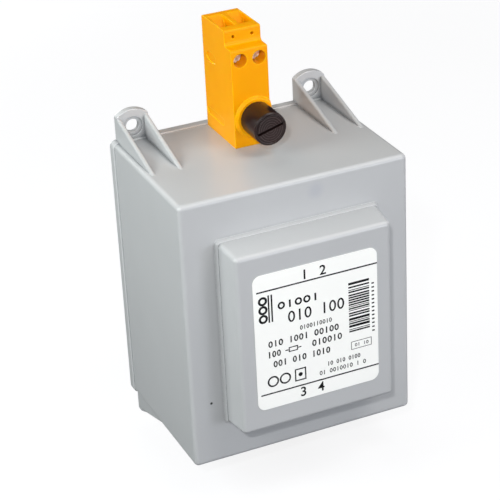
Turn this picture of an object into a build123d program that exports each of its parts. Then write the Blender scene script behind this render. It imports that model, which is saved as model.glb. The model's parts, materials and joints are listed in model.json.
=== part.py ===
from build123d import *
import os

# A DIN rail transformer, in millimetres. The frame is the mounting frame: +Z up the rail's
# face, -Y to the front, and the origin at the middle of the case's flat rear face.

# Case: a box moulded in one piece, open at the rear, with a raised panel on its front.
# It is as large as the core needs, with a gap beside it and room behind it for the leads.
wall = 2.2
core_gap_x = 0.3
core_gap_z = 0.5
lead_room = 7.25
case_round = 1.5
front_round = 1.4
rim_proud = 0.45
rim_depth = 3.0
rim_bevel = 0.3
panel_w = 52.8
panel_h = 62.0
panel_rise = 11.6
panel_draft = 4.9
panel_round = 1.5
root_proud = 0.6
root_depth = 1.4
root_draft = 20.0

# Mounting ears: an arched plate with two gussets, at each corner of the case
ear_w = 10.4
ear_inset = 1.7
ear_rise = 10.3
ear_shoulder = 8.3
ear_corner = 0.4
crest_drop = 0.35
ear_plate = 2.3
ear_hole = 4.3
ear_hole_rise = 4.7
ear_ring = 6.4
ear_ring_depth = 0.5
gusset_t = 1.4
gusset_round = 0.5
gusset_run = 27.8

# Rear cover, let into the case's rear rim, and its screws
cover_t = 2.6
cover_lap = 1.1
cover_gap = 0.15
corner_post = 6.8
corner_post_run = 13.4
cover_screw_d = 3.0
cover_screw_l = 11.0
core_post_w = 4.6
core_post_inset = 7.5
core_post_lap = 3.5
screw_head = 1.9
screw_head_t = 1.6
screw_slot_w = 0.8
screw_slot_depth = 0.65

# Core of E and I laminations, tongue across the case
tongue = 28.0
leg = tongue / 2
core_w = tongue * 2.5
core_h = tongue * 3.0
stack = 32.0
core_hole = 4.4

# Bobbin with two chambers, windings and their tape
bobbin_wall = 1.2
bobbin_gap = 0.15
tube_round = 0.6
flange_y = 9.4
flange_z = 11.4
flange_round = 2.0
winding_build = 8.6
winding_round = 5.0
tape_t = 0.4

# Terminal blocks
block_w = 12.2
block_x = 0.2
block_gap = 0.1
block_l = 21.7
block_round = 0.5
corner_round = 0.7
step_round = 1.2
primary_h = 36.8
secondary_h = 14.6
head_set = 4.6
head_h = 5.0
pole_pitch = 6.2
screw_drop = 8.6
access_d = 4.4
funnel_w = 4.8
funnel_rim_rear = 2.8
funnel_rim_front = 3.6
chamber_w = 4.6
chamber_h = 7.4
chamber_front = 6.0
chamber_l = 9.5
test_hole = 1.1
test_drop = 2.4
test_depth = 3.0
foot_w = 11.2
foot_drop = 4.2
foot_inset = 1.4
foot_l = 14.4
foot_gap = 0.15
barb = 0.5
barb_gap = 0.05
side_relief = 0.3
side_slot_l = 12.8
side_slot_inset = 0.9
side_slot_h = 2.4
side_slot_rise = 5.7
side_oval_l = 7.2
side_oval_h = 3.5
side_oval_drop = 12.1
side_oval_inset = 6.0

# Clamp and screw of one pole
clamp_w = 4.4
clamp_h = 7.0
clamp_front = 1.2
clamp_l = 8.0
clamp_wall = 2.2
wire_way_l = 3.6
wire_way_w = 3.2
clamp_floor = 0.8
clamp_bevel = 0.3
clamp_bite = 1.2
terminal_screw_d = 3.0
terminal_head_d = 4.0
terminal_head_t = 1.8
terminal_head_depth = 3.9
terminal_head_bevel = 0.3
terminal_slot_w = 0.8
terminal_slot_depth = 0.8
terminal_slot_angle = 65.0

# Fuse, its two contacts and the slotted cap that carries it out
cap_dx = 1.0
cap_rise = 9.1
cap_d = 10.6
cap_proud = 11.0
cap_bevel = 0.35
cap_gap = 0.1
cap_ring_d = 8.9
cap_ring_w = 0.35
cap_ring_depth = 0.3
slot_w = 0.9
slot_depth = 1.5
slot_angle = 15.0
collar_d = 13.6
collar_proud = 0.8
collar_bevel = 0.7
neck_d = 7.5
neck_run = 8.0
bore_gap = 0.15
sleeve_t = 0.5
fuse_d = 5.2
fuse_l = 20.0
fuse_cap_l = 5.0
fuse_cap_t = 0.15
fuse_glass_t = 0.6
fuse_wire_d = 0.4
fuse_fit = 0.05
contact_t = 0.8
contact_ring_t = 0.5
contact_ring_l = 1.8
contact_ring_lap = 0.4
contact_disc_over = 0.4
strip_w = 1.0
tail_w = 2.4
tail_drop = 1.8
flange_t = 1.0
fuse_wall = 3.6

# Leads between the blocks and the windings
lead_d = 1.6
duct_gap = 0.2
lead_y = -10.5
neutral_dx = -4.4
lead_bend = 2.4
lead_sides = 8
lead_stand = 2.6
lead_straight = 10.7
lead_slant = 7.0
lead_end_in = 5.9
neutral_end_x = -10.0
secondary_left_x = 6.0
secondary_right_x = 14.0
line_end_x = -4.5
line_down = 9.0
line_slant = 8.0

# Rail bracket on the cover, its sliding latch and spring; the rail itself is 35 mm high
rail_h = 35.0
rail_t = 1.0
rail_z = 3.1
rail_play = 0.3
bracket_w = 42.0
bracket_above = 7.4
bracket_lift = 3.7
bracket_t = 2.2
bracket_round = 2.5
claw_w = 11.0
claw_x = 13.0
claw_hook = 2.8
claw_t = 2.0
claw_post = 3.2
claw_bevel = 1.2
claw_tip = 0.6
latch_w = 16.0
latch_t = 3.4
latch_gap = 0.2
latch_nose = 3.0
latch_reach = 3.8
nose_tip = 0.8
nose_foot = 0.6
latch_round = 2.0
tool_slot_w = 6.4
tool_slot_h = 1.4
tool_slot_rise = 2.4
latch_window_w = 5.2
latch_bridge = 6.3
latch_window_l = 16.4
guide_w = 2.6
guide_lip = 1.4
guide_lip_t = 1.4
guide_drop = 3.6
guide_l = 20.0
stop_t = 2.4
stop_rise = 0.5
spring_d = 3.4
spring_wire = 0.7
spring_turns = 5
spring_sides = 5
bracket_screw_d = 3.0
bracket_screw_l = 8.0
bracket_screw_x = 17.0
bracket_screw_rise = 2.9
bracket_screw_lift = 5.4
bracket_boss_w = 5.8
bracket_boss_run = 5.4

# Label on the front panel
label_w = 41.0
label_h = 45.8
label_t = 0.2
label_round = 2.6

# How far a cut runs past a face, and how far joined solids run into each other
past = 1.0
sunk = 0.5
meet = 0.1

# Places worked out from the sizes above
case_w = core_w + 2 * (core_gap_x + wall)
case_h = core_h + 2 * (core_gap_z + wall)
winding_over = bobbin_gap + bobbin_wall + winding_build + tape_t
case_d = wall + stack + winding_over + lead_room + cover_t
case_front = -case_d
block_rear = -rim_depth - block_gap
block_front = block_rear - block_l
foot_rear = block_rear - foot_inset
panel_front = case_front - panel_rise
cavity_w = case_w - 2 * wall
cavity_h = case_h - 2 * wall
cover_w = cavity_w + 2 * cover_lap
cover_h = cavity_h + 2 * cover_lap
core_front = case_front + wall
core_rear = core_front + stack
core_mid = (core_front + core_rear) / 2
window_w = core_w - 2 * leg
bobbin_in_z = tongue + 2 * bobbin_gap
bobbin_in_y = stack + 2 * bobbin_gap
tube_z = bobbin_in_z + 2 * bobbin_wall
tube_y = bobbin_in_y + 2 * bobbin_wall
bobbin_end = window_w / 2 - bobbin_gap
winding_rear = core_rear + winding_over
ear_x = case_w / 2 - ear_inset - ear_w / 2
screw_x = cavity_w / 2 - corner_post / 2
screw_z = cavity_h / 2 - corner_post / 2
cap_x = block_x + cap_dx
cap_face = block_front - cap_proud
cap_seat = block_front - collar_proud - cap_gap
neck_end = cap_seat + neck_run
fuse_rear = block_rear - fuse_wall - contact_t
fuse_front = fuse_rear - fuse_l
bore_d = neck_d + 2 * bore_gap
sleeve_d = fuse_d + 2 * fuse_fit + 2 * sleeve_t
lead_rear = winding_rear + lead_stand
lead_kink_z = case_h / 2 - lead_straight
lead_turn_z = lead_kink_z - lead_slant
lead_end_z = tube_z / 2 + winding_build - lead_end_in
clamp_front_y = block_front + chamber_front + clamp_front
latch_y = bracket_t + latch_gap
rail_top = rail_z + rail_h / 2
rail_bottom = rail_z - rail_h / 2
hook_y = bracket_t + rail_t + rail_play
bracket_top = rail_top + bracket_above
bracket_bottom = bracket_lift - case_h / 2
bracket_screw_z = (rail_top + bracket_screw_rise, rail_bottom + bracket_screw_lift)
latch_top = rail_bottom - rail_play
latch_bottom = -case_h / 2 - latch_reach
window_top = latch_top - latch_bridge
window_bottom = window_top - latch_window_l
stop_bottom = window_bottom + stop_rise
guide_top = rail_bottom - guide_drop


def slab(x0, x1, y0, y1, z0, z1):
    """A box between two opposite corners."""
    return Pos((x0 + x1) / 2, (y0 + y1) / 2, (z0 + z1) / 2) * Box(x1 - x0, y1 - y0, z1 - z0)


def rod(d, y0, y1, x=0.0, z=0.0):
    """A round bar along Y."""
    return Pos(x, (y0 + y1) / 2, z) * Rot(90, 0, 0) * Cylinder(d / 2, y1 - y0)


def post(d, z0, z1, x=0.0, y=0.0):
    """A round bar along Z."""
    return Pos(x, y, (z0 + z1) / 2) * Cylinder(d / 2, z1 - z0)


def stub(w, y0, y1, x, z):
    """A square bar along Y."""
    return slab(x - w / 2, x + w / 2, y0, y1, z - w / 2, z + w / 2)


def facing(y):
    """The plane across Y at y that looks to the front, with its own y axis up."""
    return Plane(origin=(0, y, 0), x_dir=(1, 0, 0), z_dir=(0, -1, 0))


def soft_box(w, h, y0, y1, r):
    """A box about the Y axis with its four long edges rounded."""
    return extrude(facing(y1) * RectangleRounded(w, h, r), y1 - y0)


def four(x, z):
    """The four corners of a rectangle about the Y axis."""
    return [(sx * x, sz * z) for sx in (-1, 1) for sz in (-1, 1)]


def ear():
    """One top ear at x = 0, standing on the case's top face."""
    with BuildSketch(facing(0)) as outline:
        with BuildLine():
            sides = Polyline((-ear_w / 2, ear_shoulder), (-ear_w / 2, -wall / 2),
                             (ear_w / 2, -wall / 2), (ear_w / 2, ear_shoulder))
            ThreePointArc(sides @ 0, (0, ear_rise), sides @ 1)
        make_face()
        fillet(outline.vertices().group_by(Axis.Y)[-1], ear_corner)
    plate = extrude(outline.sketch, ear_plate)
    crest_h = ear_shoulder - crest_drop
    y_in = meet - ear_plate
    y_tip = -ear_plate - gusset_run
    foot = wall / 2
    tail = (y_in - y_tip) * foot / crest_h
    with BuildSketch(Plane.YZ) as side:
        with BuildLine():
            Polyline((y_in, -foot), (y_tip - tail, -foot), (y_in, crest_h), close=True)
        make_face()
    web = extrude(side.sketch, gusset_t / 2, both=True)
    crest = [e for e in web.edges() if e.center().Z > 0 and abs(e.center().X) > gusset_t / 4
             and e.center().Y < y_in - past]
    web = fillet(crest, gusset_round)
    offset_x = ear_w / 2 - gusset_t / 2
    body = plate + Pos(-offset_x, 0, 0) * web + Pos(offset_x, 0, 0) * web
    body -= rod(ear_hole, -ear_plate - past, past, z=ear_hole_rise)
    return body - rod(ear_ring, -ear_plate - past, -ear_plate + ear_ring_depth, z=ear_hole_rise)


def case():
    box = soft_box(case_w, case_h, case_front, 0, case_round)
    box = fillet(box.faces().sort_by(Axis.Y)[0].edges(), front_round)
    rim = soft_box(case_w + 2 * rim_proud, case_h + 2 * rim_proud, -rim_depth, 0, case_round + rim_proud)
    rim = chamfer(rim.faces().sort_by(Axis.Y)[0].edges(), rim_bevel)
    panel = extrude(facing(case_front) * Rectangle(panel_w, panel_h), panel_rise, taper=panel_draft)
    panel = fillet([e for e in panel.edges() if e.center().Y < case_front - meet], panel_round)
    root = extrude(facing(case_front) * RectangleRounded(
        panel_w + 2 * root_proud, panel_h + 2 * root_proud, panel_round), root_depth, taper=root_draft)
    body = box + rim + root + panel
    for sx, sz in four(1, 1):
        one = Pos(sx * ear_x, 0, case_h / 2) * ear()
        body += one if sz > 0 else mirror(one, Plane.XY)
    body -= slab(-cavity_w / 2, cavity_w / 2, core_front, past, -cavity_h / 2, cavity_h / 2)
    body -= extrude(facing(core_front) * Rectangle(panel_w - 2 * wall, panel_h - 2 * wall),
                    panel_rise, taper=panel_draft)
    for x, z in four(screw_x, screw_z):
        body += stub(corner_post, -cover_t - corner_post_run, -cover_t, x, z)
        body -= rod(cover_screw_d, -cover_t - cover_screw_l, past, x, z)
    body -= soft_box(cover_w, cover_h, -cover_t, past, case_round)
    for side in (-1, 1):
        z_in = side * (case_h / 2 - wall - past)
        z_out = side * (case_h / 2 + past)
        body -= slab(block_x - foot_w / 2 - foot_gap, block_x + foot_w / 2 + foot_gap,
                     foot_rear - foot_l - foot_gap, foot_rear + foot_gap,
                     min(z_in, z_out), max(z_in, z_out))
    return body


def screw_cone(d):
    """The countersunk head of a screw of diameter d, its flat at y = 0."""
    head = Cone(d / 2, d * screw_head / 2, screw_head_t)
    return Pos(0, -screw_head_t / 2, 0) * Rot(-90, 0, 0) * head


def screw(d, length):
    """A slotted countersunk screw driven from the rear, its head's flat at y = 0."""
    slot = slab(-d, d, -screw_slot_depth, past, -screw_slot_w / 2, screw_slot_w / 2)
    return rod(d, -length, -screw_head_t) + screw_cone(d) - slot


def sink(d, length):
    """The hole that takes a countersunk screw, its mouth at y = 0."""
    return rod(d, -length, 0) + screw_cone(d) + rod(d * screw_head, 0, past)


def rear_cover():
    plate = soft_box(cover_w - 2 * cover_gap, cover_h - 2 * cover_gap, -cover_t, 0,
                     case_round - cover_gap)
    for x, z in four(core_w / 2 - core_post_inset, core_h / 2 - leg + core_post_lap):
        plate += stub(core_post_w, core_rear, -cover_t, x, z)
    for x in (-bracket_screw_x, bracket_screw_x):
        for z in bracket_screw_z:
            plate += stub(bracket_boss_w, -cover_t - bracket_boss_run, -cover_t, x, z)
            plate -= rod(bracket_screw_d, -bracket_screw_l + bracket_t, past, x, z)
    for x, z in four(screw_x, screw_z):
        plate -= Pos(x, 0, z) * sink(cover_screw_d, cover_t + past)
    return plate


def cover_screws():
    one = screw(cover_screw_d, cover_screw_l)
    return Compound(children=[Pos(x, 0, z) * one for x, z in four(screw_x, screw_z)])


def e_laminations():
    """The E stack: a back at the left, two legs and the tongue."""
    back = slab(-core_w / 2, -core_w / 2 + leg, core_front, core_rear, -core_h / 2, core_h / 2)
    limbs = [slab(-core_w / 2 + leg, core_w / 2 - leg, core_front, core_rear, z - t / 2, z + t / 2)
             for z, t in ((0, tongue), (core_h / 2 - leg / 2, leg), (leg / 2 - core_h / 2, leg))]
    stack_e = back + limbs
    for z in (-core_h / 2 + leg / 2, core_h / 2 - leg / 2):
        stack_e -= rod(core_hole, core_front - past, core_rear + past, -core_w / 2 + leg / 2, z)
    return stack_e


def i_laminations():
    """The I stack that closes the E at the right."""
    bar = slab(core_w / 2 - leg, core_w / 2, core_front, core_rear, -core_h / 2, core_h / 2)
    for z in (-core_h / 2 + leg / 2, core_h / 2 - leg / 2):
        bar -= rod(core_hole, core_front - past, core_rear + past, core_w / 2 - leg / 2, z)
    return bar


def ring_x(x0, x1, out_y, out_z, in_y, in_z, r):
    """A rectangular ring about the tongue, between two places along X."""
    across = Plane(origin=(x0, core_mid, 0), x_dir=(0, 1, 0), z_dir=(1, 0, 0))
    outer = across * RectangleRounded(out_y, out_z, r)
    return extrude(outer - across * Rectangle(in_y, in_z), x1 - x0)


def bobbin():
    body = ring_x(-bobbin_end, bobbin_end, tube_y, tube_z, bobbin_in_y, bobbin_in_z, tube_round)
    for x in (-bobbin_end, -bobbin_wall / 2, bobbin_end - bobbin_wall):
        body += ring_x(x, x + bobbin_wall, tube_y + 2 * flange_y, tube_z + 2 * flange_z,
                       bobbin_in_y, bobbin_in_z, flange_round)
    return body


def bay(side):
    """The two ends along X of the bobbin's left or right chamber."""
    x0 = bobbin_wall / 2 if side > 0 else -bobbin_end + bobbin_wall
    return x0, x0 + bobbin_end - 1.5 * bobbin_wall


def winding(side):
    out_y = tube_y + 2 * winding_build
    out_z = tube_z + 2 * winding_build
    return ring_x(*bay(side), out_y, out_z, tube_y, tube_z, winding_round)


def tape(side):
    x0, x1 = bay(side)
    across = Plane(origin=(x0, core_mid, 0), x_dir=(0, 1, 0), z_dir=(1, 0, 0))
    out_y = tube_y + 2 * winding_build
    out_z = tube_z + 2 * winding_build
    outer = across * RectangleRounded(out_y + 2 * tape_t, out_z + 2 * tape_t, winding_round + tape_t)
    return extrude(outer - across * RectangleRounded(out_y, out_z, winding_round), x1 - x0)


def funnel(height, x):
    """A wire entry that narrows from the block's top to the mouth of the clamp."""
    y_rear = block_rear - funnel_rim_rear
    y_front = block_front + head_set + funnel_rim_front
    way_y = clamp_front_y + clamp_wall + wire_way_l / 2
    z_in = height - screw_drop + chamber_h / 2
    mouth = Pos(x, (y_rear + y_front) / 2, height) * Rectangle(funnel_w, y_rear - y_front)
    throat = Pos(x, way_y, z_in - meet) * Rectangle(chamber_w, wire_way_l)
    return loft([throat, mouth])


def block_body(height):
    """A two-pole terminal block standing on z = 0, with its chambers and its foot."""
    step = height - head_h
    with BuildSketch(Plane.YZ) as side:
        with BuildLine():
            Polyline((block_front, 0), (block_rear, 0), (block_rear, height),
                     (block_front + head_set, height), (block_front + head_set, step),
                     (block_front, step), close=True)
        make_face()
        inner = (block_front + head_set, step)
        upper = [v for v in side.vertices().sort_by_distance(inner) if v.Y > meet]
        fillet(upper[1:], corner_round)
        fillet(side.vertices().sort_by_distance(inner)[0], step_round)
    body = extrude(side.sketch, block_w / 2, both=True)
    for face in (body.faces().sort_by(Axis.X)[0], body.faces().sort_by(Axis.X)[-1]):
        body = fillet([e for e in face.edges() if e.center().Z > meet], block_round)
    foot = slab(-foot_w / 2, foot_w / 2, foot_rear - foot_l, foot_rear, -foot_drop, 0)
    with BuildSketch(Plane.XZ) as hook:
        with BuildLine():
            Polyline((-foot_w / 2, -wall), (-foot_w / 2 - barb, -wall - barb_gap),
                     (-foot_w / 2, -foot_drop), (foot_w / 2, -foot_drop),
                     (foot_w / 2 + barb, -wall - barb_gap), (foot_w / 2, -wall), close=True)
        make_face()
    body = body + foot + Pos(0, foot_rear - foot_l / 4, 0) * extrude(hook.sketch, foot_l / 2)
    for x in (-pole_pitch / 2, pole_pitch / 2):
        z = height - screw_drop
        y = block_front + chamber_front
        body -= slab(x - chamber_w / 2, x + chamber_w / 2, y, y + chamber_l, z - chamber_h / 2,
                     z + chamber_h / 2)
        body -= rod(access_d, block_front - past, y + meet, x, z)
        body -= funnel(height, x)
        y_head = block_front + head_set
        body -= rod(test_hole, y_head - past, y_head + test_depth, x, height - test_drop)
    return body


def side_marks():
    """The shallow recesses in both sides of the tall block: a long slot low down and an oval."""
    y = block_rear - side_slot_inset - side_slot_l / 2
    depth = block_w / 2 - side_relief
    flat = Plane.YZ * Pos(y, side_slot_rise) * SlotOverall(side_slot_l, side_slot_h)
    flat += Plane.YZ * Pos(block_rear - side_oval_inset, primary_h - side_oval_drop) * Ellipse(
        side_oval_l / 2, side_oval_h / 2)
    return [Pos(depth, 0, 0) * extrude(flat, past), Pos(-depth - past, 0, 0) * extrude(flat, past)]


def duct(height, x):
    """The way of a lead from a clamp's chamber down through the block's foot."""
    top = height - screw_drop - chamber_h / 2 + meet
    return post(lead_d + 2 * duct_gap, -foot_drop - past, top, x, lead_y)


def primary_terminal_block():
    """The tall block: clamps at its top, and the fuse holder above the case."""
    body = block_body(primary_h)
    collar = rod(collar_d, block_front - collar_proud, block_front + sunk, cap_dx, cap_rise)
    collar = chamfer(collar.edges().sort_by(Axis.Y)[0], collar_bevel)
    body += collar & slab(-block_w / 2, block_w / 2, block_front - collar_proud, block_rear, 0, primary_h)
    body -= rod(bore_d, block_front - collar_proud - past, fuse_rear + contact_t, cap_dx, cap_rise)
    contacts = [Pos(-block_x, 0, -case_h / 2) * c for c in (fuse_front_contact(), fuse_rear_contact())]
    for piece in contacts + side_marks():
        body -= piece
    body -= duct(primary_h, neutral_dx)
    return Pos(block_x, 0, case_h / 2) * body


def secondary_terminal_block():
    """The low block under the case, the same block without a fuse."""
    body = block_body(secondary_h)
    for x in (-pole_pitch / 2, pole_pitch / 2):
        body -= duct(secondary_h, x)
    return Pos(block_x, 0, -case_h / 2) * Rot(0, 180, 0) * body


def clamp_at(height, x):
    """One brass clamp: a block with a way for the wire and a thread for the screw."""
    z0 = height - screw_drop - chamber_h / 2
    y0 = clamp_front_y
    body = slab(x - clamp_w / 2, x + clamp_w / 2, y0, y0 + clamp_l, z0, z0 + clamp_h)
    body = chamfer(body.edges().filter_by(Axis.Z), clamp_bevel)
    y1 = y0 + clamp_wall
    body -= slab(x - wire_way_w / 2, x + wire_way_w / 2, y1, y1 + wire_way_l, z0 + clamp_floor,
                 z0 + clamp_h + past)
    return body - rod(terminal_screw_d, y0 - past, y1 + meet, x, height - screw_drop)


def terminal_screw(height, x):
    y0 = block_front + terminal_head_depth
    z = height - screw_drop
    head = rod(terminal_head_d, y0, y0 + terminal_head_t, x, z)
    head = chamfer(head.edges().sort_by(Axis.Y)[0], terminal_head_bevel)
    tip = clamp_front_y + clamp_wall + clamp_bite
    slot = Pos(x, y0, z) * Rot(0, terminal_slot_angle, 0) * Box(
        terminal_head_d + past, 2 * terminal_slot_depth, terminal_slot_w)
    return head + rod(terminal_screw_d, y0 + terminal_head_t, tip, x, z) - slot


def on_top(piece):
    return Pos(block_x, 0, case_h / 2) * piece


def underneath(piece):
    return Pos(block_x, 0, -case_h / 2) * Rot(0, 180, 0) * piece


def fuse_front_contact():
    """A ring round the bore and a riser up to the right-hand clamp."""
    y0 = neck_end - contact_ring_lap
    ring = rod(bore_d + 2 * contact_ring_t, y0, y0 + contact_ring_l, cap_dx, cap_rise)
    x = pole_pitch / 2
    y_mid = y0 + contact_ring_l / 2
    riser = slab(x - strip_w / 2, x + strip_w / 2, y_mid - strip_w / 2, y_mid + strip_w / 2,
                 cap_rise, primary_h - screw_drop - chamber_h / 2)
    body = ring + riser - rod(bore_d, y0 - past, y0 + contact_ring_l + past, cap_dx, cap_rise)
    return on_top(body)


def fuse_rear_contact():
    """A disc at the bore's end with a tail down into the case."""
    disc = rod(fuse_d + 2 * contact_disc_over, fuse_rear, fuse_rear + contact_t, cap_dx, cap_rise)
    tail = slab(cap_dx - tail_w / 2, cap_dx + tail_w / 2, fuse_rear, fuse_rear + contact_t,
                -foot_drop - tail_drop, cap_rise)
    return on_top(disc + tail)


def fuse_cap():
    """The black cap: a slotted head, and a neck that holds the sleeve and the fuse."""
    head = rod(cap_d, cap_face, cap_seat, cap_dx, cap_rise)
    head = chamfer(head.edges().sort_by(Axis.Y)[0], cap_bevel)
    neck = rod(neck_d, cap_seat, neck_end, cap_dx, cap_rise)
    body = head + neck - rod(sleeve_d, fuse_front - sleeve_t, neck_end + past, cap_dx, cap_rise)
    groove = rod(cap_ring_d + cap_ring_w, cap_face - past, cap_face + cap_ring_depth, cap_dx, cap_rise)
    groove -= rod(cap_ring_d - cap_ring_w, cap_face - past, cap_face + past, cap_dx, cap_rise)
    slot = Pos(cap_dx, cap_face, cap_rise) * Rot(0, -slot_angle, 0) * Box(
        cap_ring_d, 2 * slot_depth, slot_w)
    return on_top(body - groove - slot)


def fuse_sleeve():
    """The brass sleeve in the cap that grips the fuse and meets the ring contact."""
    tube = rod(sleeve_d, fuse_front - sleeve_t, neck_end, cap_dx, cap_rise)
    flange = rod(neck_d, neck_end, neck_end + flange_t, cap_dx, cap_rise)
    hole = rod(fuse_d + 2 * fuse_fit, fuse_front, neck_end + flange_t + past, cap_dx, cap_rise)
    return on_top(tube + flange - hole)


def fuse_glass():
    tube = rod(fuse_d - 2 * fuse_cap_t, fuse_front + fuse_cap_t, fuse_rear - fuse_cap_t, cap_dx, cap_rise)
    bore = rod(fuse_d - 2 * fuse_cap_t - 2 * fuse_glass_t, fuse_front, fuse_rear, cap_dx, cap_rise)
    return on_top(tube - bore)


def fuse_end_caps():
    """The two plated caps on the glass, one at each end."""
    ends = []
    for y0, front, rear in ((fuse_front, fuse_cap_t, -past), (fuse_rear - fuse_cap_l, -past, fuse_cap_t)):
        y1 = y0 + fuse_cap_l
        cup = rod(fuse_d, y0, y1, cap_dx, cap_rise)
        inside = rod(fuse_d - 2 * fuse_cap_t, y0 + front, y1 - rear, cap_dx, cap_rise)
        ends.append(on_top(cup - inside))
    return Compound(children=ends)


def fuse_wire():
    return on_top(rod(fuse_wire_d, fuse_front + fuse_cap_t, fuse_rear - fuse_cap_t, cap_dx, cap_rise))


def lead(points):
    """A lead along straight runs joined by arcs."""
    path = FilletPolyline(*points, radius=lead_bend)
    start = Plane(origin=points[0], z_dir=path % 0)
    return sweep(start * RegularPolygon(lead_d / 2, lead_sides), path=path)


def line_lead():
    """From the tail of the rear contact to the primary winding."""
    top = case_h / 2 - foot_drop - sunk
    down = top - line_down
    aside = down - line_slant
    y = fuse_rear + contact_t + lead_d / 2
    return lead([(cap_x, y, top), (cap_x, y, down), (line_end_x, y, aside), (line_end_x, y, lead_end_z),
                 (line_end_x, winding_rear, lead_end_z)])


def neutral_lead():
    """From the left-hand primary clamp, down its duct, to the primary winding."""
    x = block_x + neutral_dx
    top = case_h / 2 + primary_h - screw_drop - chamber_h / 2
    end_x = neutral_end_x
    return lead([(x, lead_y, top), (x, lead_y, lead_kink_z), (end_x, lead_rear, lead_turn_z),
                 (end_x, lead_rear, lead_end_z), (end_x, winding_rear, lead_end_z)])


def secondary_lead(side):
    """From a clamp of the lower block up to the secondary winding."""
    x = block_x + side * pole_pitch / 2
    low = -case_h / 2 - (secondary_h - screw_drop - chamber_h / 2)
    end_x = secondary_left_x if side < 0 else secondary_right_x
    return lead([(x, lead_y, low), (x, lead_y, -lead_kink_z), (end_x, lead_rear, -lead_turn_z),
                 (end_x, lead_rear, -lead_end_z), (end_x, winding_rear, -lead_end_z)])


def rail_bracket():
    """A plate screwed on the cover, with two claws over the rail's upper lip and a latch guide."""
    plate = slab(-bracket_w / 2, bracket_w / 2, 0, bracket_t, bracket_bottom, bracket_top)
    plate = fillet(plate.edges().filter_by(Axis.Y), bracket_round)
    claw_foot = rail_top + rail_play
    claw_top = claw_foot + claw_post
    claw_y = hook_y + claw_t
    hook_z = rail_top - claw_hook
    for x in (-claw_x, claw_x):
        with BuildSketch(Plane.YZ) as side:
            with BuildLine():
                Polyline((bracket_t - sunk, claw_foot), (hook_y, claw_foot), (hook_y, hook_z),
                         (claw_y - claw_tip, hook_z - claw_tip), (claw_y, hook_z + claw_tip),
                         (claw_y, claw_top - claw_bevel), (claw_y - claw_bevel, claw_top),
                         (bracket_t - sunk, claw_top), close=True)
            make_face()
        plate += Pos(x - claw_w / 2, 0, 0) * extrude(side.sketch, claw_w)
    lip_y = latch_y + latch_t + latch_gap
    for sx in (-1, 1):
        x_in = latch_w / 2 + latch_gap
        x_out = x_in + guide_w
        a, b = sorted((sx * x_in, sx * x_out))
        plate += slab(a, b, bracket_t - sunk, lip_y + guide_lip_t, guide_top - guide_l, guide_top)
        a, b = sorted((sx * (x_in - guide_lip), sx * x_out))
        plate += slab(a, b, lip_y, lip_y + guide_lip_t, guide_top - guide_l, guide_top)
    half = latch_window_w / 2 - latch_gap
    plate += slab(-half, half, bracket_t - sunk, latch_y + latch_t, stop_bottom, stop_bottom + stop_t)
    for x in (-bracket_screw_x, bracket_screw_x):
        for z in bracket_screw_z:
            plate -= Pos(x, bracket_t, z) * sink(bracket_screw_d, bracket_t + past)
    return plate


def bracket_screws():
    one = Pos(0, bracket_t, 0) * screw(bracket_screw_d, bracket_screw_l)
    return Compound(children=[Pos(x, 0, z) * one for x in (-bracket_screw_x, bracket_screw_x)
                              for z in bracket_screw_z])


def rail_latch():
    """The sliding latch: a nose under the rail's lower lip and a pull tab below the case."""
    y_rear = latch_y + latch_t
    with BuildSketch(Plane.YZ) as side:
        with BuildLine():
            Polyline((latch_y, latch_top), (hook_y, latch_top), (hook_y, latch_top + latch_nose),
                     (hook_y + nose_tip, latch_top + latch_nose), (y_rear, latch_top + nose_foot),
                     (y_rear, latch_bottom), (latch_y, latch_bottom), close=True)
        make_face()
    body = extrude(side.sketch, latch_w / 2, both=True)
    body = fillet(body.edges().filter_by(Axis.Y).group_by(Axis.Z)[0], latch_round)
    body -= slab(-latch_window_w / 2, latch_window_w / 2, latch_y - past, y_rear + past,
                 window_bottom, window_top)
    tab = latch_bottom + tool_slot_rise
    return body - slab(-tool_slot_w / 2, tool_slot_w / 2, latch_y - past, y_rear + past,
                       tab, tab + tool_slot_h)


def latch_spring():
    """A compression spring between the bracket's stop and the top of the latch's window."""
    z0 = stop_bottom + stop_t + spring_wire / 2
    z1 = window_top - spring_wire / 2
    pitch = (z1 - z0) / spring_turns
    r = spring_d / 2 - spring_wire / 2
    y = latch_y + latch_t / 2
    path = Pos(0, y, z0) * Helix(pitch, z1 - z0, r)
    start = Plane(origin=path @ 0, z_dir=path % 0)
    return sweep(start * RegularPolygon(spring_wire / 2, spring_sides), path=path, is_frenet=True)


def label():
    return extrude(facing(panel_front) * RectangleRounded(label_w, label_h, label_round), label_t)


def pair(make, height, place):
    """The left and right piece of a block, as two separate solids in one node."""
    return Compound(children=[place(make(height, x)) for x in (-pole_pitch / 2, pole_pitch / 2)])


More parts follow.
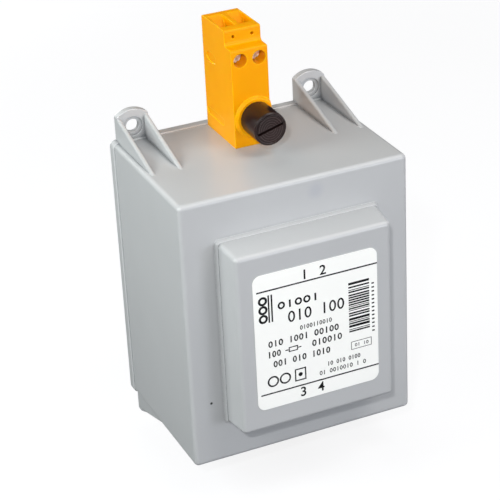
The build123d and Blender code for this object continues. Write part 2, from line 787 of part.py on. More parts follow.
nodes = {
    "case": case(),
    "rear_cover": rear_cover(),
    "cover_screws": cover_screws(),
    "e_laminations": e_laminations(),
    "i_laminations": i_laminations(),
    "bobbin": bobbin(),
    "primary_winding": winding(-1),
    "secondary_winding": winding(1),
    "primary_tape": tape(-1),
    "secondary_tape": tape(1),
    "primary_terminal_block": primary_terminal_block(),
    "primary_clamp_left": on_top(clamp_at(primary_h, -pole_pitch / 2)),
    "primary_clamp_right": on_top(clamp_at(primary_h, pole_pitch / 2)),
    "primary_terminal_screws": pair(terminal_screw, primary_h, on_top),
    "fuse_front_contact": fuse_front_contact(),
    "fuse_rear_contact": fuse_rear_contact(),
    "fuse_cap": fuse_cap(),
    "fuse_sleeve": fuse_sleeve(),
    "fuse_glass": fuse_glass(),
    "fuse_end_caps": fuse_end_caps(),
    "fuse_wire": fuse_wire(),
    "secondary_terminal_block": secondary_terminal_block(),
    "secondary_clamp_left": underneath(clamp_at(secondary_h, pole_pitch / 2)),
    "secondary_clamp_right": underneath(clamp_at(secondary_h, -pole_pitch / 2)),
    "secondary_terminal_screws": pair(terminal_screw, secondary_h, underneath),
    "line_lead": line_lead(),
    "neutral_lead": neutral_lead(),
    "secondary_lead_left": secondary_lead(-1),
    "secondary_lead_right": secondary_lead(1),
    "rail_bracket": rail_bracket(),
    "bracket_screws": bracket_screws(),
    "rail_latch": rail_latch(),
    "latch_spring": latch_spring(),
    "label": label(),
}

for name, shape in nodes.items():
    export_step(shape, f"parts/{name}.step")
    print(name, len(shape.solids()), round(shape.volume, 1))
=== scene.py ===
import bpy
import json
import math
import random
from mathutils import Matrix, Vector


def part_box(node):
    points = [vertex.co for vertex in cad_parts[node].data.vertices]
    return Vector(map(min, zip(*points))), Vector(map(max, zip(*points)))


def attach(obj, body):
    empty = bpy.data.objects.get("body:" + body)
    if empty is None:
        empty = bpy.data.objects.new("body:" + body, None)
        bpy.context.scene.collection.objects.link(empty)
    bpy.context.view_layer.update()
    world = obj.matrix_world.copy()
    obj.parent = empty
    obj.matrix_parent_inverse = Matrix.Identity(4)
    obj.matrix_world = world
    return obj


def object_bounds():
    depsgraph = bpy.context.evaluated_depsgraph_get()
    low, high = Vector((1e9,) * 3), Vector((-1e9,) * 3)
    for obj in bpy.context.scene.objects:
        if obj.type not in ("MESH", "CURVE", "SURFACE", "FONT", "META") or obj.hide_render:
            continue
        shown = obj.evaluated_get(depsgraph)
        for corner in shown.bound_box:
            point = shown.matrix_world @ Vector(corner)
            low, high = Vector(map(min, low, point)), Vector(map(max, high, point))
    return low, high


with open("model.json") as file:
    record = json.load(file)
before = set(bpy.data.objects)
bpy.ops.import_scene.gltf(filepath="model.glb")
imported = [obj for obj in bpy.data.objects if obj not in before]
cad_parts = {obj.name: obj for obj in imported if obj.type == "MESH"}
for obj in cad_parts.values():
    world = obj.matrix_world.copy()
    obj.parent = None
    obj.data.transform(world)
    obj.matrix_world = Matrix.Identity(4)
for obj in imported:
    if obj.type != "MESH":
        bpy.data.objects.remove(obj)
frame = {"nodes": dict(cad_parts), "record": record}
cadLow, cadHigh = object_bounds()

mm = 0.001  # everything is in metres, and sizes of the real thing are given in millimetres


def linear(hexColour):
    # an sRGB hex colour as the linear values that a shader takes
    parts = [int(hexColour[i:i + 2], 16) / 255 for i in (0, 2, 4)]
    return [c / 12.92 if c <= 0.04045 else ((c + 0.055) / 1.055) ** 2.4 for c in parts] + [1.0]


def add(tree, kind, settings, links=None):
    # one shader node: its properties or input values by name, and what feeds its inputs
    made = tree.nodes.new(kind)
    for key, value in settings.items():
        if isinstance(key, str) and hasattr(made, key):
            setattr(made, key, value)
        else:
            made.inputs[key].default_value = value
    for key, source in (links or {}).items():
        tree.links.new(source, made.inputs[key])
    return made


def newMaterial(name, settings):
    made = bpy.data.materials.new(name)
    made.use_nodes = True
    tree = made.node_tree
    shader = tree.nodes["Principled BSDF"]
    for key, value in settings.items():
        shader.inputs[key].default_value = value
    return made, tree, shader


def dress(mesh, material):
    mesh.materials.clear()
    mesh.materials.append(material)


mixFactor, mixA, mixB, mixResult = 0, 6, 7, 2  # a Mix node's sockets for colours; their names aren't unique


# Camera, where the photograph was taken from
cameraSettings = {
    "place": (-208.9, -507.4, 278.2),  # mm from the middle of the case's rear face
    "heading": -23.11,
    "lookDown": 27.15,
    "roll": -2.97,
    "lens": 134.5,                     # mm
    "sensor": 36,                      # mm across the picture
}


def makeCamera(look):
    data = bpy.data.cameras.new("camera")
    data.lens = look["lens"]
    data.sensor_width = look["sensor"]
    camera = bpy.data.objects.new("camera", data)
    bpy.context.scene.collection.objects.link(camera)
    turn = (Matrix.Rotation(math.radians(look["heading"]), 3, "Z")
            @ Matrix.Rotation(math.radians(90 - look["lookDown"]), 3, "X")
            @ Matrix.Rotation(math.radians(look["roll"]), 3, "Z"))
    camera.matrix_world = Matrix.Translation(Vector(look["place"]) * mm) @ turn.to_4x4()
    bpy.context.scene.camera = camera


makeCamera(cameraSettings)
bpy.context.scene.view_settings.view_transform = "Standard"
print("camera: set")


# Studio: soft boxes near the object, a pale floor under its lowest piece, and a pale surround
softBoxes = {  # places and diameters in m; the key is small, so that the front panel throws a crisp shade
    "left": {"from": (-0.29, -0.02, 0.17), "size": 0.18, "watts": 0.80, "colour": "FAFFFC"},
    "nearLeft": {"from": (-0.22, -0.15, 0.17), "size": 0.16, "watts": 0.08, "colour": "FAFFFC"},
    "overRight": {"from": (0.20, -0.30, 0.52), "size": 0.36, "watts": 1.6, "colour": "FFFBF6"},
    "overRear": {"from": (0.05, 0.30, 0.55), "size": 0.36, "watts": 0.5, "colour": "FFFBF6"},
    "key": {"from": (-0.33, -0.62, 0.46), "size": 0.04, "watts": 2.4, "colour": "FFFFFF"},
    "camera": {"from": (-0.21, -0.55, 0.29), "size": 0.05, "watts": 0.6, "colour": "FFFFFF"},
    "front": {"from": (0.40, -0.90, 0.02), "size": 0.30, "watts": 2.75, "colour": "F4F7FF"},
    "frontRight": {"from": (0.60, -0.60, 0.25), "size": 0.75, "watts": 1.35, "colour": "F4F7FF"},
    "right": {"from": (0.62, 0.10, 0.18), "size": 0.50, "watts": 1.1, "colour": "FFFFFF"},
    "rear": {"from": (-0.10, 0.75, 0.10), "size": 0.40, "watts": 2.8, "colour": "FFFFFF"},
}
floorSettings = {
    "seen": "FFFFFF",
    "bounce": "6C6D70",
    "rough": 0.9,
    "shine": 0.1,
    "lift": (0.84, 1.0),    # light added for the camera near the object and far from it
    "reach": (0.35, 1.3),   # the distances, in m, where the first ends and the second begins
    "half": 4.0,            # half its width, in m
    "gap": 0.2,             # mm below the lowest piece
}
surround = {"fill": "E4E7EC", "fillStrength": 0.03, "seen": "FFFFFF"}


def makeSoftBox(name, look, centre):
    data = bpy.data.lights.new(name, "AREA")
    data.shape = "DISK"
    data.size = look["size"]
    data.energy = look["watts"]
    data.color = linear(look["colour"])[:3]
    lamp = bpy.data.objects.new(name, data)
    bpy.context.scene.collection.objects.link(lamp)
    lamp.location = Vector(look["from"])
    lamp.rotation_euler = (centre - lamp.location).to_track_quat("-Z", "Y").to_euler()
    lamp.visible_camera = False


def makeSurround(look):
    world = bpy.data.worlds.new("surround")
    world.use_nodes = True
    tree = world.node_tree
    tree.nodes.clear()
    ray = add(tree, "ShaderNodeLightPath", {})
    seen = add(tree, "ShaderNodeMath", {"operation": "MAXIMUM"},
               {0: ray.outputs["Is Camera Ray"], 1: ray.outputs["Is Transmission Ray"]})
    fill = add(tree, "ShaderNodeBackground",
               {"Color": linear(look["fill"]), "Strength": look["fillStrength"]})
    white = add(tree, "ShaderNodeBackground", {"Color": linear(look["seen"]), "Strength": 1.0})
    both = add(tree, "ShaderNodeMixShader", {},
               {0: seen.outputs[0], 1: fill.outputs[0], 2: white.outputs[0]})
    add(tree, "ShaderNodeOutputWorld", {}, {"Surface": both.outputs[0]})
    bpy.context.scene.world = world


def makeFloor(look, height):
    # paper that sends little light back up, and that the camera sees near white
    half = look["half"]
    mesh = bpy.data.meshes.new("floor")
    corners = [(-half, -half, 0), (half, -half, 0), (half, half, 0), (-half, half, 0)]
    mesh.from_pydata(corners, [], [(0, 1, 2, 3)])
    floor = bpy.data.objects.new("floor", mesh)
    floor.location.z = height
    bpy.context.scene.collection.objects.link(floor)
    paper, tree, shader = newMaterial("backdrop_paper_matt", {
        "Base Color": linear(look["bounce"]), "Roughness": look["rough"],
        "Specular IOR Level": look["shine"]})
    ray = add(tree, "ShaderNodeLightPath", {})
    place = add(tree, "ShaderNodeNewGeometry", {})
    far = add(tree, "ShaderNodeVectorMath", {"operation": "LENGTH"}, {0: place.outputs["Position"]})
    lift = add(tree, "ShaderNodeMapRange", {"From Min": look["reach"][0], "From Max": look["reach"][1],
                                            "To Min": look["lift"][0], "To Max": look["lift"][1]},
               {"Value": far.outputs["Value"]})
    lift = add(tree, "ShaderNodeMath", {"operation": "MULTIPLY"},
               {0: lift.outputs["Result"], 1: ray.outputs["Is Camera Ray"]})
    glow = add(tree, "ShaderNodeEmission", {"Color": linear(look["seen"])}, {"Strength": lift.outputs[0]})
    front = add(tree, "ShaderNodeAddShader", {}, {0: shader.outputs[0], 1: glow.outputs[0]})
    # from below the floor is clear, so the underside of the object can be looked at
    clear = add(tree, "ShaderNodeBsdfTransparent", {})
    sides = add(tree, "ShaderNodeMixShader", {},
                {0: place.outputs["Backfacing"], 1: front.outputs[0], 2: clear.outputs[0]})
    tree.links.new(sides.outputs[0], tree.nodes["Material Output"].inputs["Surface"])
    dress(mesh, paper)


for boxName, boxLook in softBoxes.items():
    makeSoftBox(boxName, boxLook, (cadLow + cadHigh) / 2)
makeSurround(surround)
makeFloor(floorSettings, cadLow.z - floorSettings["gap"] * mm)
print("studio: set")


# How the marks on every surface are drawn
marks = {
    "cloudDetail": 3.0,
    "cloudSpread": (0.35, 0.65),  # the part of the noise over which one shade turns into the other
    "glossSpread": (0.3, 0.7),    # and the part over which the gloss changes
    "grainDetail": 2.0,
    "grainDepth": 0.2,            # of the grain's width
    "rubbed": (0.99, 0.9),        # the two normals' cosine where the painted edge highlight begins and where it is full
    "edgeSamples": 6,
    "cornerSamples": 8,
}


def cloudedColour(tree, place, look):
    # colour that drifts between two close shades, and the noise that it follows
    low, high = marks["cloudSpread"]
    cloud = add(tree, "ShaderNodeTexNoise", {"Scale": 1 / (look["cloud"] * mm),
                                             "Detail": marks["cloudDetail"]}, {"Vector": place})
    shade = add(tree, "ShaderNodeMapRange", {"From Min": low, "From Max": high},
                {"Value": cloud.outputs["Fac"]})
    mixed = add(tree, "ShaderNodeMix", {"data_type": "RGBA", mixA: linear(look["colour"]),
                                        mixB: linear(look["cloudColour"])},
                {mixFactor: shade.outputs["Result"]})
    return mixed.outputs[mixResult], cloud


def variedGloss(tree, shader, noise, look):
    low, high = marks["glossSpread"]
    gloss = add(tree, "ShaderNodeMapRange", {"From Min": low, "From Max": high, "To Min": look["rough"][0],
                                             "To Max": look["rough"][1]}, {"Value": noise.outputs["Fac"]})
    tree.links.new(gloss.outputs["Result"], shader.inputs["Roughness"])


def rubbedEdges(tree, rounded, colour, look):
    # painted highlight: an edge is drawn lighter where the rounded normal leaves the face's own
    own = add(tree, "ShaderNodeNewGeometry", {}).outputs["True Normal"]
    same = add(tree, "ShaderNodeVectorMath", {"operation": "DOT_PRODUCT"},
               {0: rounded.outputs["Normal"], 1: own})
    begins, full = marks["rubbed"]
    rub = add(tree, "ShaderNodeMapRange", {"From Min": begins, "From Max": full, "To Max": look["rub"]},
              {"Value": same.outputs["Value"]})
    highlightedColour = add(tree, "ShaderNodeMix", {"data_type": "RGBA", mixB: linear(look["rubColour"])},
               {mixFactor: rub.outputs["Result"], mixA: colour})
    return highlightedColour.outputs[mixResult]


def mouldedPlastic(name, look):
    # plastic takes the finish of its mould: a fine even grain, soft edges and faint clouds of shade;
    # the grain is drawn coarser than the real one, so that it shows
    made, tree, shader = newMaterial(name, {"IOR": look["ior"], "Specular IOR Level": look["shine"]})
    place = add(tree, "ShaderNodeTexCoord", {}).outputs["Object"]
    colour, cloud = cloudedColour(tree, place, look)
    variedGloss(tree, shader, cloud, look)
    grain = add(tree, "ShaderNodeTexNoise", {"Scale": 1 / (look["grain"] * mm),
                                             "Detail": marks["grainDetail"]}, {"Vector": place})
    bump = add(tree, "ShaderNodeBump", {"Strength": look["bump"],
                                        "Distance": look["grain"] * mm * marks["grainDepth"]},
               {"Height": grain.outputs["Fac"]})
    if "edge" in look:
        rounded = add(tree, "ShaderNodeBevel", {"samples": marks["edgeSamples"],
                                                "Radius": look["edge"] * mm})
        tree.links.new(rounded.outputs["Normal"], bump.inputs["Normal"])
        # the edges are rounded in shading and carry a painted highlight in a lighter colour
        colour = rubbedEdges(tree, rounded, colour, look)
    tree.links.new(bump.outputs["Normal"], shader.inputs["Normal"])
    tree.links.new(colour, shader.inputs["Base Color"])
    return made, tree, shader, place, colour


def spotMask(tree, place, centre, radius, soft):
    # 1 inside a round spot on the surface and 0 outside, with a soft rim; sizes in mm
    reach = add(tree, "ShaderNodeVectorMath", {"operation": "DISTANCE", 1: [c * mm for c in centre]},
                {0: place})
    rim = {"From Min": (radius + soft) * mm, "From Max": (radius - soft) * mm}
    return add(tree, "ShaderNodeMapRange", rim, {"Value": reach.outputs["Value"]}).outputs["Result"]


# ABS, injection moulded in a lightly eroded mould: a satin grey that takes broad soft highlights
greyAbs = {
    "colour": "B7B9BB", "cloudColour": "B4B6B8", "cloud": 40.0, "grain": 0.35, "bump": 0.2,
    "rough": (0.29, 0.32), "ior": 1.53, "shine": 0.5,
    # its edges carry a painted highlight in a paler grey
    "edge": 0.35, "rub": 0.8, "rubColour": "E4E6E8",
    "specks": [  # dark specks in the moulding: where, radius, softness
        ((-31.0, -54.4, -23.2), 0.42, 0.12),
        ((-27.0, -62.0, 0.5), 0.22, 0.1),
    ],
    "speckColour": "2E2E30",
    "smudge": ((6.6, -54.4, 39.9), 2.2, 1.2),
    "smudgeColour": "A6A9B2",
    "smudgeWeight": 0.5,
    "crease": {"reach": 2.4, "from": 0.45, "to": 0.8, "colour": "76797C"},  # painted shade in the inner corners
}


def makeGreyAbs(look):
    made, tree, shader, place, colour = mouldedPlastic("abs_grey_moulded", look)
    smudge = spotMask(tree, place, *look["smudge"])
    faint = add(tree, "ShaderNodeMath", {"operation": "MULTIPLY", 1: look["smudgeWeight"]}, {0: smudge})
    crease = look["crease"]
    # painted shade: inner corners are drawn darker where ambient occlusion finds them
    corner = add(tree, "ShaderNodeAmbientOcclusion", {"samples": marks["cornerSamples"], "only_local": True,
                                                      "Distance": crease["reach"] * mm})
    paintedCreaseShade = add(tree, "ShaderNodeMapRange", {"From Min": crease["to"], "From Max": crease["from"]},
               {"Value": corner.outputs["AO"]})
    layers = [(faint.outputs[0], look["smudgeColour"])]  # each lies over the ones before it
    layers += [(spotMask(tree, place, *speck), look["speckColour"]) for speck in look["specks"]]
    layers.append((paintedCreaseShade.outputs["Result"], crease["colour"]))
    for mask, tint in layers:
        colour = add(tree, "ShaderNodeMix", {"data_type": "RGBA", mixB: linear(tint)},
                     {mixFactor: mask, mixA: colour}).outputs[mixResult]
    tree.links.new(colour, shader.inputs["Base Color"])
    return made


# Polyamide 66 in signal orange, as moulded: a close satin, warm where light passes into its thin walls
orangePolyamide = {
    "colour": "EFA000", "cloudColour": "EB9B00", "cloud": 14.0, "grain": 0.3, "bump": 0.2,
    # its edges carry a painted highlight in a yellower orange
    "rough": (0.3, 0.36), "ior": 1.3, "shine": 0.25, "edge": 0.35, "rub": 0.9, "rubColour": "FFCC18",
    "share": 0.25, "depth": 1.0, "reach": (1.0, 0.3, 0.05),  # light spread inside: how much, mm, by colour
}


def makeOrangePolyamide(look):
    made, _, shader, _, _ = mouldedPlastic("polyamide_orange_moulded", look)
    shader.inputs["Subsurface Weight"].default_value = look["share"]
    shader.inputs["Subsurface Scale"].default_value = look["depth"] * mm
    shader.inputs["Subsurface Radius"].default_value = look["reach"]
    return made


# Polyamide in black for the fuse cap, the rail bracket and the latch: brown-black with a satin sheen
blackPolyamide = {
    "colour": "261817", "cloudColour": "201413", "cloud": 6.0, "grain": 0.25, "bump": 0.3,
    "rough": (0.26, 0.34), "ior": 1.5, "shine": 0.25,
    # its edges carry a painted highlight in a paler brown
    "edge": 0.15, "rub": 0.5, "rubColour": "5A504E",
    "rings": {  # left on the cap's end by a turned mould
        "pitch": 0.75, "weight": 0.13, "colour": "544A49",
        "square": 0.9,  # how squarely a face has to look forward to carry them
    },
}


def makeBlackPolyamide(name, look, axis=None):
    # on the cap's end, fine rings run round the axis
    made, tree, shader, place, colour = mouldedPlastic(name, look)
    if axis is None:
        return made
    rings = look["rings"]
    centred = add(tree, "ShaderNodeMapping", {"vector_type": "TEXTURE", "Location": axis},
                  {"Vector": place})
    flat = add(tree, "ShaderNodeVectorMath", {"operation": "MULTIPLY", 1: (1, 0, 1)},
               {0: centred.outputs["Vector"]})
    radius = add(tree, "ShaderNodeVectorMath", {"operation": "LENGTH"}, {0: flat.outputs["Vector"]})
    turn = add(tree, "ShaderNodeMath", {"operation": "MODULO", 1: rings["pitch"] * mm},
               {0: radius.outputs["Value"]})
    line = add(tree, "ShaderNodeMath", {"operation": "LESS_THAN", 1: rings["weight"] * mm},
               {0: turn.outputs[0]})
    facing = add(tree, "ShaderNodeVectorMath", {"operation": "DOT_PRODUCT", 1: (0, -1, 0)},
                 {0: add(tree, "ShaderNodeTexCoord", {}).outputs["Normal"]})
    end = add(tree, "ShaderNodeMath", {"operation": "GREATER_THAN", 1: rings["square"]},
              {0: facing.outputs["Value"]})
    shown = add(tree, "ShaderNodeMath", {"operation": "MULTIPLY"}, {0: line.outputs[0], 1: end.outputs[0]})
    lined = add(tree, "ShaderNodeMix", {"data_type": "RGBA", mixB: linear(rings["colour"])},
                {mixFactor: shown.outputs[0], mixA: colour})
    tree.links.new(lined.outputs[mixResult], shader.inputs["Base Color"])
    return made


# Natural polyamide of the bobbin: milky, slightly yellow
bobbinNylon = {
    "colour": "DDD6C2", "cloudColour": "D2CAB4", "cloud": 10.0, "grain": 0.3, "bump": 0.2,
    "rough": (0.4, 0.5), "ior": 1.53, "shine": 0.5,
}

# Polyester winding tape: thin, glossy and yellow, with slight creases
yellowTape = {
    "colour": "E9C33A", "cloudColour": "DDB52E", "cloud": 4.0, "grain": 1.2, "bump": 0.5,
    "rough": (0.22, 0.34), "ior": 1.6, "shine": 0.5,
}

# Soft PVC on the leads: extruded, with a dull even gloss
leadPvc = {
    "colour": "33353B", "cloudColour": "2B2D33", "cloud": 3.0, "grain": 0.5, "bump": 0.2,
    "rough": (0.4, 0.5), "ior": 1.53, "shine": 0.5,
}

# White polyester film of the label: smooth, close to glossy, a little blue in its white
labelFilm = {
    "colour": "FDFEFB", "cloudColour": "FAFBF8", "cloud": 18.0, "grain": 0.8, "bump": 0.06,
    "rough": (0.3, 0.38), "ior": 1.6, "shine": 0.5,
}

# Resin ink, printed on the film by heat transfer: black and a little duller than the film
labelInk = {
    "colour": "171718", "cloudColour": "1F1F21", "cloud": 2.0, "grain": 0.3, "bump": 0.1,
    "rough": (0.42, 0.5), "ior": 1.45, "shine": 0.15,
}


def workedMetal(name, look):
    # metal shows the marks of its tool: fine lines along one axis, and gloss that varies with them;
    # on plated and punched pieces they are drawn coarser than the real ones, so that they show
    made, tree, shader = newMaterial(name, {"Metallic": look.get("metallic", 1.0)})
    place = add(tree, "ShaderNodeTexCoord", {}).outputs["Object"]
    stretch = add(tree, "ShaderNodeMapping", {"Scale": [1 / (s * mm) for s in look["lines"]]},
                  {"Vector": place})
    lines = add(tree, "ShaderNodeTexNoise", {"Scale": 1.0, "Detail": marks["cloudDetail"]},
                {"Vector": stretch.outputs["Vector"]})
    colour = cloudedColour(tree, place, look)[0]
    tree.links.new(colour, shader.inputs["Base Color"])
    variedGloss(tree, shader, lines, look)
    bump = add(tree, "ShaderNodeBump", {"Strength": look["bump"], "Distance": look["depth"] * mm},
               {"Height": lines.outputs["Fac"]})
    tree.links.new(bump.outputs["Normal"], shader.inputs["Normal"])
    return made


# Zinc plate over steel: pale and slightly blue, with a soft uneven gloss
zincSteel = {
    "colour": "C9CCD0", "cloudColour": "B9BDC4", "cloud": 1.5, "lines": (0.2, 1.2, 0.2),
    "rough": (0.42, 0.56), "bump": 0.2, "depth": 0.02,
}

# Nickel plate on the terminal screws: pale, and blasted so that it spreads the light more than it mirrors
nickelSteel = {
    "colour": "FFFEFC", "cloudColour": "F8F6F4", "cloud": 1.2, "lines": (0.2, 0.8, 0.2), "metallic": 0.1,
    "rough": (0.35, 0.45), "bump": 0.12, "depth": 0.02,
}

# Electrical steel sheets, punched and stacked: the sheet edges show as fine lines across the stack
laminationSteel = {
    "colour": "777B80", "cloudColour": "5F6267", "cloud": 8.0, "lines": (30.0, 0.5, 30.0),
    "rough": (0.4, 0.6), "bump": 0.8, "depth": 0.08,
}

# Enamelled copper wire, wound in layers round the bobbin: each turn is a line across its axis
copperWire = {
    "colour": "B4683A", "cloudColour": "8F4C26", "cloud": 6.0, "lines": (0.6, 30.0, 30.0),
    "rough": (0.28, 0.42), "bump": 0.9, "depth": 0.15,
}

# Brass, punched and bent: yellow with a soft cut grain
brassSheet = {
    "colour": "D9B265", "cloudColour": "C69A4B", "cloud": 2.0, "lines": (0.25, 1.5, 0.25),
    "rough": (0.24, 0.38), "bump": 0.2, "depth": 0.02,
}

# Nickel plate on the fuse's pressed caps and its wire
fusePlating = {
    "colour": "DAD8D2", "cloudColour": "CBC8C1", "cloud": 1.5, "lines": (0.3, 0.3, 1.0),
    "rough": (0.14, 0.24), "bump": 0.1, "depth": 0.01,
}

# Soda-lime glass, drawn as a tube: clear, with the slightest green and a faint ripple
drawnGlass = {"colour": "EEF5F1", "ior": 1.52, "ripple": 1.5, "rough": (0.02, 0.06)}


def makeGlass(look):
    made, tree, shader = newMaterial("glass_drawn_clear", {
        "Base Color": linear(look["colour"]), "IOR": look["ior"], "Transmission Weight": 1.0})
    place = add(tree, "ShaderNodeTexCoord", {}).outputs["Object"]
    ripple = add(tree, "ShaderNodeTexNoise", {"Scale": 1 / (look["ripple"] * mm)}, {"Vector": place})
    gloss = add(tree, "ShaderNodeMapRange", {"To Min": look["rough"][0], "To Max": look["rough"][1]},
                {"Value": ripple.outputs["Fac"]})
    tree.links.new(gloss.outputs["Result"], shader.inputs["Roughness"])
    return made


finishes = {
    "grey_abs": makeGreyAbs(greyAbs),
    "orange_polyamide": makeOrangePolyamide(orangePolyamide),
    "black_polyamide": makeBlackPolyamide("polyamide_black_moulded", blackPolyamide),
    "label_film": mouldedPlastic("polyester_white_film", labelFilm)[0],
    "zinc_steel": workedMetal("steel_zinc_plated", zincSteel),
    "nickel_steel": workedMetal("steel_nickel_plated", nickelSteel),
    "lamination_steel": workedMetal("electrical_steel_punched", laminationSteel),
    "bobbin_nylon": mouldedPlastic("polyamide_natural_moulded", bobbinNylon)[0],
    "copper_wire": workedMetal("copper_enamelled_wound", copperWire),
    "yellow_tape": mouldedPlastic("polyester_yellow_tape", yellowTape)[0],
    "brass": workedMetal("brass_punched", brassSheet),
    "fuse_glass": makeGlass(drawnGlass),
    "fuse_plating": workedMetal("nickel_on_pressed_brass", fusePlating),
    "lead_pvc": mouldedPlastic("pvc_extruded", leadPvc)[0],
}
ink = mouldedPlastic("resin_ink_printed", labelInk)[0]

for part in frame["record"]["subparts"]:
    dress(frame["nodes"][part["node"]].data, finishes[part["material_slot"]])
capAxis = sum(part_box("fuse_cap"), Vector()) / 2
ringed = makeBlackPolyamide("polyamide_black_ringed", blackPolyamide, capAxis)
dress(frame["nodes"]["fuse_cap"].data, ringed)
print("materials:", len(finishes), "finishes on the frame's nodes")


# Print on the label: rules, rows of plain noughts and ones, stripes and simple signs, in mm from its middle
printLook = {
    "thick": 0.02,        # of the ink, sunk into the film so that only the next value stands above it
    "proud": 0.01,
    "figureWidth": 0.43,  # half the width of a nought, of the pitch
    "rules": {"x": (-19.4, 20.5), "z": (17.45, -17.7), "weight": 0.48},
    "rows": [  # from and to along x, bottom, height, stroke, and the figures
        ((-12.9, 1.1), 10.2, 2.5, 0.60, "01001"),
        ((-9.7, 9.4), 5.0, 3.8, 0.58, "010 100"),
        ((-5.8, 5.0), 1.5, 1.5, 0.28, "0100110010"),
        ((-16.4, 7.3), -1.9, 2.2, 0.44, "010 1001 00100"),
        ((-16.8, -12.2), -5.4, 2.2, 0.44, "100"),
        ((-2.0, 8.3), -5.3, 2.2, 0.44, "010010"),
        ((-15.0, 4.2), -9.0, 2.2, 0.44, "001 010 1010"),
        ((12.4, 17.2), -9.4, 1.2, 0.22, "01 10"),
        ((2.9, 14.3), -13.5, 1.5, 0.28, "10 010 0100"),
        ((0.2, 16.2), -16.1, 1.5, 0.28, "01 0010010 1 0"),
    ],
    "stripes": {"x": (10.7, 17.7), "z": (-4.0, 13.4), "thin": 0.27, "seed": 4,
                "bars": (1, 2, 2, 3, 1, 2), "gaps": (1, 1, 2)},
    "column": {"x": 18.5, "z": (-5.6, 12.0), "size": (0.85, 0.5), "pitch": 1.36},
    "frame": {"x": (11.2, 18.2), "z": (-10.2, -7.4), "line": 0.2},
    "coil": {"x": -17.5, "z": (8.3, 11.3, 14.3), "radius": 1.5, "hole": 0.75},
    "core": {"x": (-15.6, -14.6), "z": (6.7, 15.9), "weight": 0.5},
    "fuse": {"x": (-10.8, -5.5), "z": -4.2, "body": (-9.7, -6.6), "high": 1.7, "line": 0.35, "apart": 0.05},
    "rings": {"x": (-15.2, -11.2), "z": -13.7, "radius": 1.9, "line": 0.55},
    "plate": {"x": (-8.0, -4.2), "z": (-15.9, -11.6), "line": 0.42, "dot": 0.7},
    "numbers": [("top", "1   2", (-0.6, 18.25), 4.5), ("bottom", "3   4", (-2.3, -21.6), 4.5)],
    "numberWeight": 0.07,
    "arcPoints": 28,
}


def outline(sheet, points):
    # a closed outline on the sheet, where an outline inside another is a hole
    spline = sheet.splines.new("POLY")
    spline.points.add(len(points) - 1)
    for point, (x, z) in zip(spline.points, points):
        point.co = (x * mm, z * mm, 0, 1)
    spline.use_cyclic_u = True


def block(sheet, x0, x1, z0, z1):
    outline(sheet, [(x0, z0), (x1, z0), (x1, z1), (x0, z1)])


def ellipse(sheet, x, z, halfWidth, halfHeight):
    steps = printLook["arcPoints"]
    turns = [2 * math.pi * i / steps for i in range(steps)]
    outline(sheet, [(x + halfWidth * math.cos(t), z + halfHeight * math.sin(t)) for t in turns])


def hollowBlock(sheet, x0, x1, z0, z1, line):
    block(sheet, x0, x1, z0, z1)
    block(sheet, x0 + line, x1 - line, z0 + line, z1 - line)


def figureRow(sheet, span, bottom, height, stroke, figures):
    pitch = (span[1] - span[0]) / len(figures)
    for i, figure in enumerate(figures):
        x = span[0] + (i + 0.5) * pitch
        if figure == "1":
            block(sheet, x - stroke / 2, x + stroke / 2, bottom, bottom + height)
        if figure == "0":
            half = min(printLook["figureWidth"] * pitch, height / 2)
            ellipse(sheet, x, bottom + height / 2, half, height / 2)
            ellipse(sheet, x, bottom + height / 2, half - stroke, height / 2 - stroke)


def stripeField(sheet, look):
    random.seed(look["seed"])
    z = look["z"][0]
    while z < look["z"][1]:
        weight = look["thin"] * random.choice(look["bars"])
        block(sheet, *look["x"], z, z + weight)
        z += weight + look["thin"] * random.choice(look["gaps"])


def smallColumn(sheet, look):
    z = look["z"][0]
    while z < look["z"][1]:
        block(sheet, look["x"], look["x"] + look["size"][0], z, z + look["size"][1])
        z += look["pitch"]


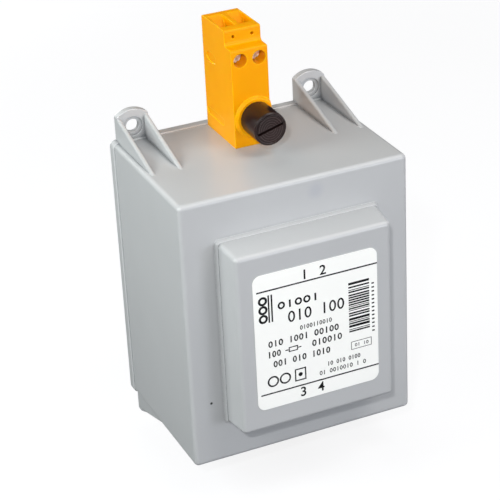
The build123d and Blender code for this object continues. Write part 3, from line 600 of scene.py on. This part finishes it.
def simpleSigns(sheet):
    # a coil beside its core, a fuse on its line, two rings, and a plate with a dot
    coil, core, fuse = printLook["coil"], printLook["core"], printLook["fuse"]
    for z in coil["z"]:
        ellipse(sheet, coil["x"], z, coil["radius"], coil["radius"])
        ellipse(sheet, coil["x"], z, coil["hole"], coil["hole"])
    for x in core["x"]:
        block(sheet, x - core["weight"] / 2, x + core["weight"] / 2, *core["z"])
    line = fuse["line"]
    block(sheet, fuse["x"][0], fuse["body"][0] - fuse["apart"], fuse["z"] - line / 2, fuse["z"] + line / 2)
    block(sheet, fuse["body"][1] + fuse["apart"], fuse["x"][1], fuse["z"] - line / 2, fuse["z"] + line / 2)
    hollowBlock(sheet, *fuse["body"], fuse["z"] - fuse["high"] / 2, fuse["z"] + fuse["high"] / 2, line)
    rings, plate = printLook["rings"], printLook["plate"]
    for x in rings["x"]:
        ellipse(sheet, x, rings["z"], rings["radius"], rings["radius"])
        ellipse(sheet, x, rings["z"], rings["radius"] - rings["line"], rings["radius"] - rings["line"])
    hollowBlock(sheet, *plate["x"], *plate["z"], plate["line"])
    ellipse(sheet, sum(plate["x"]) / 2, sum(plate["z"]) / 2, plate["dot"], plate["dot"])


def printedPiece(name, data, place):
    # a filled curve or a number, laid flat on the label as a thin mesh of ink
    data.extrude = printLook["thick"] * mm / 2
    drawn = bpy.data.objects.new(name + "_outline", data)
    bpy.context.scene.collection.objects.link(drawn)
    bpy.context.view_layer.update()
    mesh = bpy.data.meshes.new_from_object(drawn.evaluated_get(bpy.context.evaluated_depsgraph_get()))
    bpy.data.objects.remove(drawn)
    piece = bpy.data.objects.new(name, mesh)
    bpy.context.scene.collection.objects.link(piece)
    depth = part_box("label")[0].y + (printLook["thick"] / 2 - printLook["proud"]) * mm
    piece.matrix_world = (Matrix.Translation((place[0] * mm, depth, place[1] * mm))
                          @ Matrix.Rotation(math.pi / 2, 4, "X"))
    dress(mesh, ink)
    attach(piece, "housing")


printSheet = bpy.data.curves.new("label_print", "CURVE")
printSheet.dimensions = "2D"
printSheet.fill_mode = "BOTH"
for ruleHeight in printLook["rules"]["z"]:
    halfRule = printLook["rules"]["weight"] / 2
    block(printSheet, *printLook["rules"]["x"], ruleHeight - halfRule, ruleHeight + halfRule)
for row in printLook["rows"]:
    figureRow(printSheet, *row)
stripeField(printSheet, printLook["stripes"])
smallColumn(printSheet, printLook["column"])
hollowBlock(printSheet, *printLook["frame"]["x"], *printLook["frame"]["z"], printLook["frame"]["line"])
simpleSigns(printSheet)
printedPiece("label_print", printSheet, (0, 0))
for side, text, place, size in printLook["numbers"]:
    number = bpy.data.curves.new("number", "FONT")
    number.body = text
    number.size = size * mm
    number.offset = printLook["numberWeight"] * mm
    number.align_x = "CENTER"
    printedPiece("label_numbers_" + side, number, place)
print("label: printed")
